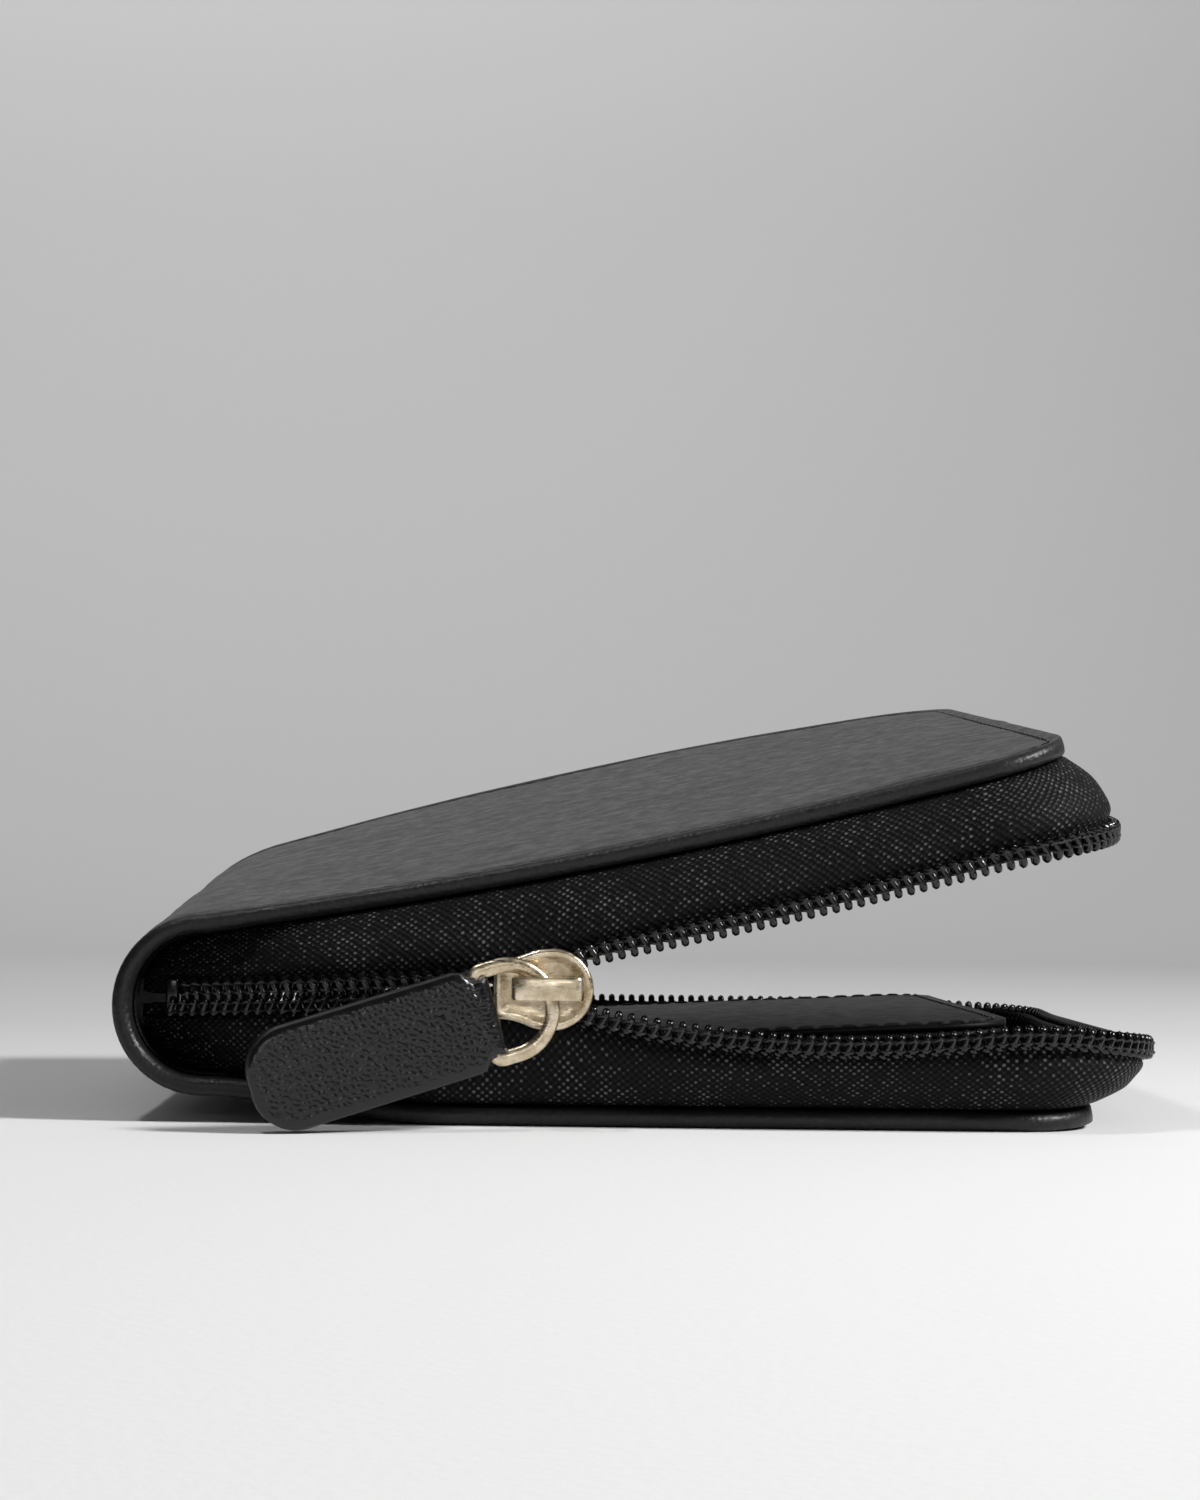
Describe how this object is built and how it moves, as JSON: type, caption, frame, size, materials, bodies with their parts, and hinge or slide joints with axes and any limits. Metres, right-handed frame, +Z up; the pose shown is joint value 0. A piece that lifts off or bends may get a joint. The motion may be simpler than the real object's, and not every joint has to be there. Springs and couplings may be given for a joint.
{
  "type": "zip around wallet",
  "caption": "Black leather zip-around wallet lying part open, with cards side, note side, centre leaf, coil zip, brass slider and leather pull tab.",
  "frame": {"origin": "middle of the flat underside that the wallet rests on", "axes": "+X from the spine to the fore-edge, +Y along the spine, away from the side where the zip is part closed, +Z up"},
  "size_m": [0.125, 0.1163, 0.0553],
  "materials": {
    "cover_leather": "fine grain, soft satin sheen",
    "tab_leather": "pebbled grain, painted edge",
    "inner_leather": "smooth, semi-gloss",
    "lining": "fine woven, matt",
    "board": "matt",
    "zip_tape": "woven herringbone",
    "zip_coil": "glossy nylon",
    "brass": "antique, satin",
    "spring_steel": "satin",
    "thread": "waxed thread"
  },
  "bodies": {
    "lower": {"lower_cover": "cover_leather", "lower_board": "board", "lower_lining": "lining", "lower_tape": "zip_tape", "lower_coil": "zip_coil", "bottom_stop": "zip_coil", "lower_top_stop": "zip_coil", "card_panel": "inner_leather", "card_slot_1": "inner_leather", "card_slot_2": "inner_leather", "card_slot_3": "inner_leather", "divider_hinge_strip": "inner_leather"},
    "spine": {"spine_leather": "cover_leather", "spine_lining": "lining"},
    "upper": {"upper_cover": "cover_leather", "upper_board": "board", "upper_lining": "lining", "upper_tape": "zip_tape", "upper_coil": "zip_coil", "upper_top_stop": "zip_coil", "upper_pocket_back": "inner_leather", "upper_pocket_front": "inner_leather"},
    "divider": {"divider_front_leaf": "inner_leather", "divider_back_leaf": "inner_leather"},
    "slider": {"slider_body": "brass", "slider_bridge": "brass", "lock_spring": "spring_steel"},
    "ring": {"pull_ring": "brass"},
    "tab": {"tab_leather": "tab_leather", "tab_core": "board", "tab_thread": "thread"}
  },
  "joints": [
    {"name": "spine_fold", "type": "hinge", "parent": "lower", "child": "spine", "pos_m": [-0.0559, 0, 0.0062], "axis": [0, -1, 0], "range_deg": [-5.3, 81.5], "deforming": ["upper_tape"]},
    {"name": "cover_fold", "type": "hinge", "parent": "spine", "child": "upper", "pos_m": [-0.0559, 0, 0.02119], "axis": [0, -1, 0], "range_deg": [-5.3, 81.5], "deforming": ["upper_coil"]},
    {"name": "divider_fold", "type": "hinge", "parent": "lower", "child": "divider", "pos_m": [-0.0445, 0, 0.0072], "axis": [0, -1, 0], "range_deg": [-2.65, 40.75]},
    {"name": "slider_slide", "type": "slide", "parent": "lower", "child": "slider", "axis": [-1, 0, 0], "range_m": [-0.046, 0.026], "deforming": ["lower_coil"]},
    {"name": "ring_flip", "type": "hinge", "parent": "slider", "child": "ring", "pos_m": [-0.00805, -0.0549, 0.0154], "axis": [0, 0, 1], "range_deg": [-7, 120]},
    {"name": "tab_flip", "type": "hinge", "parent": "ring", "child": "tab", "pos_m": [-0.01516, -0.05603, 0.01306], "axis": [-0.2888, -0.0457, 0.9563], "range_deg": [0, 45]}
  ],
  "couplings": [
    {"joint": "cover_fold", "follows": "spine_fold", "ratio": 1},
    {"joint": "divider_fold", "follows": "spine_fold", "ratio": 0.5}
  ]
}
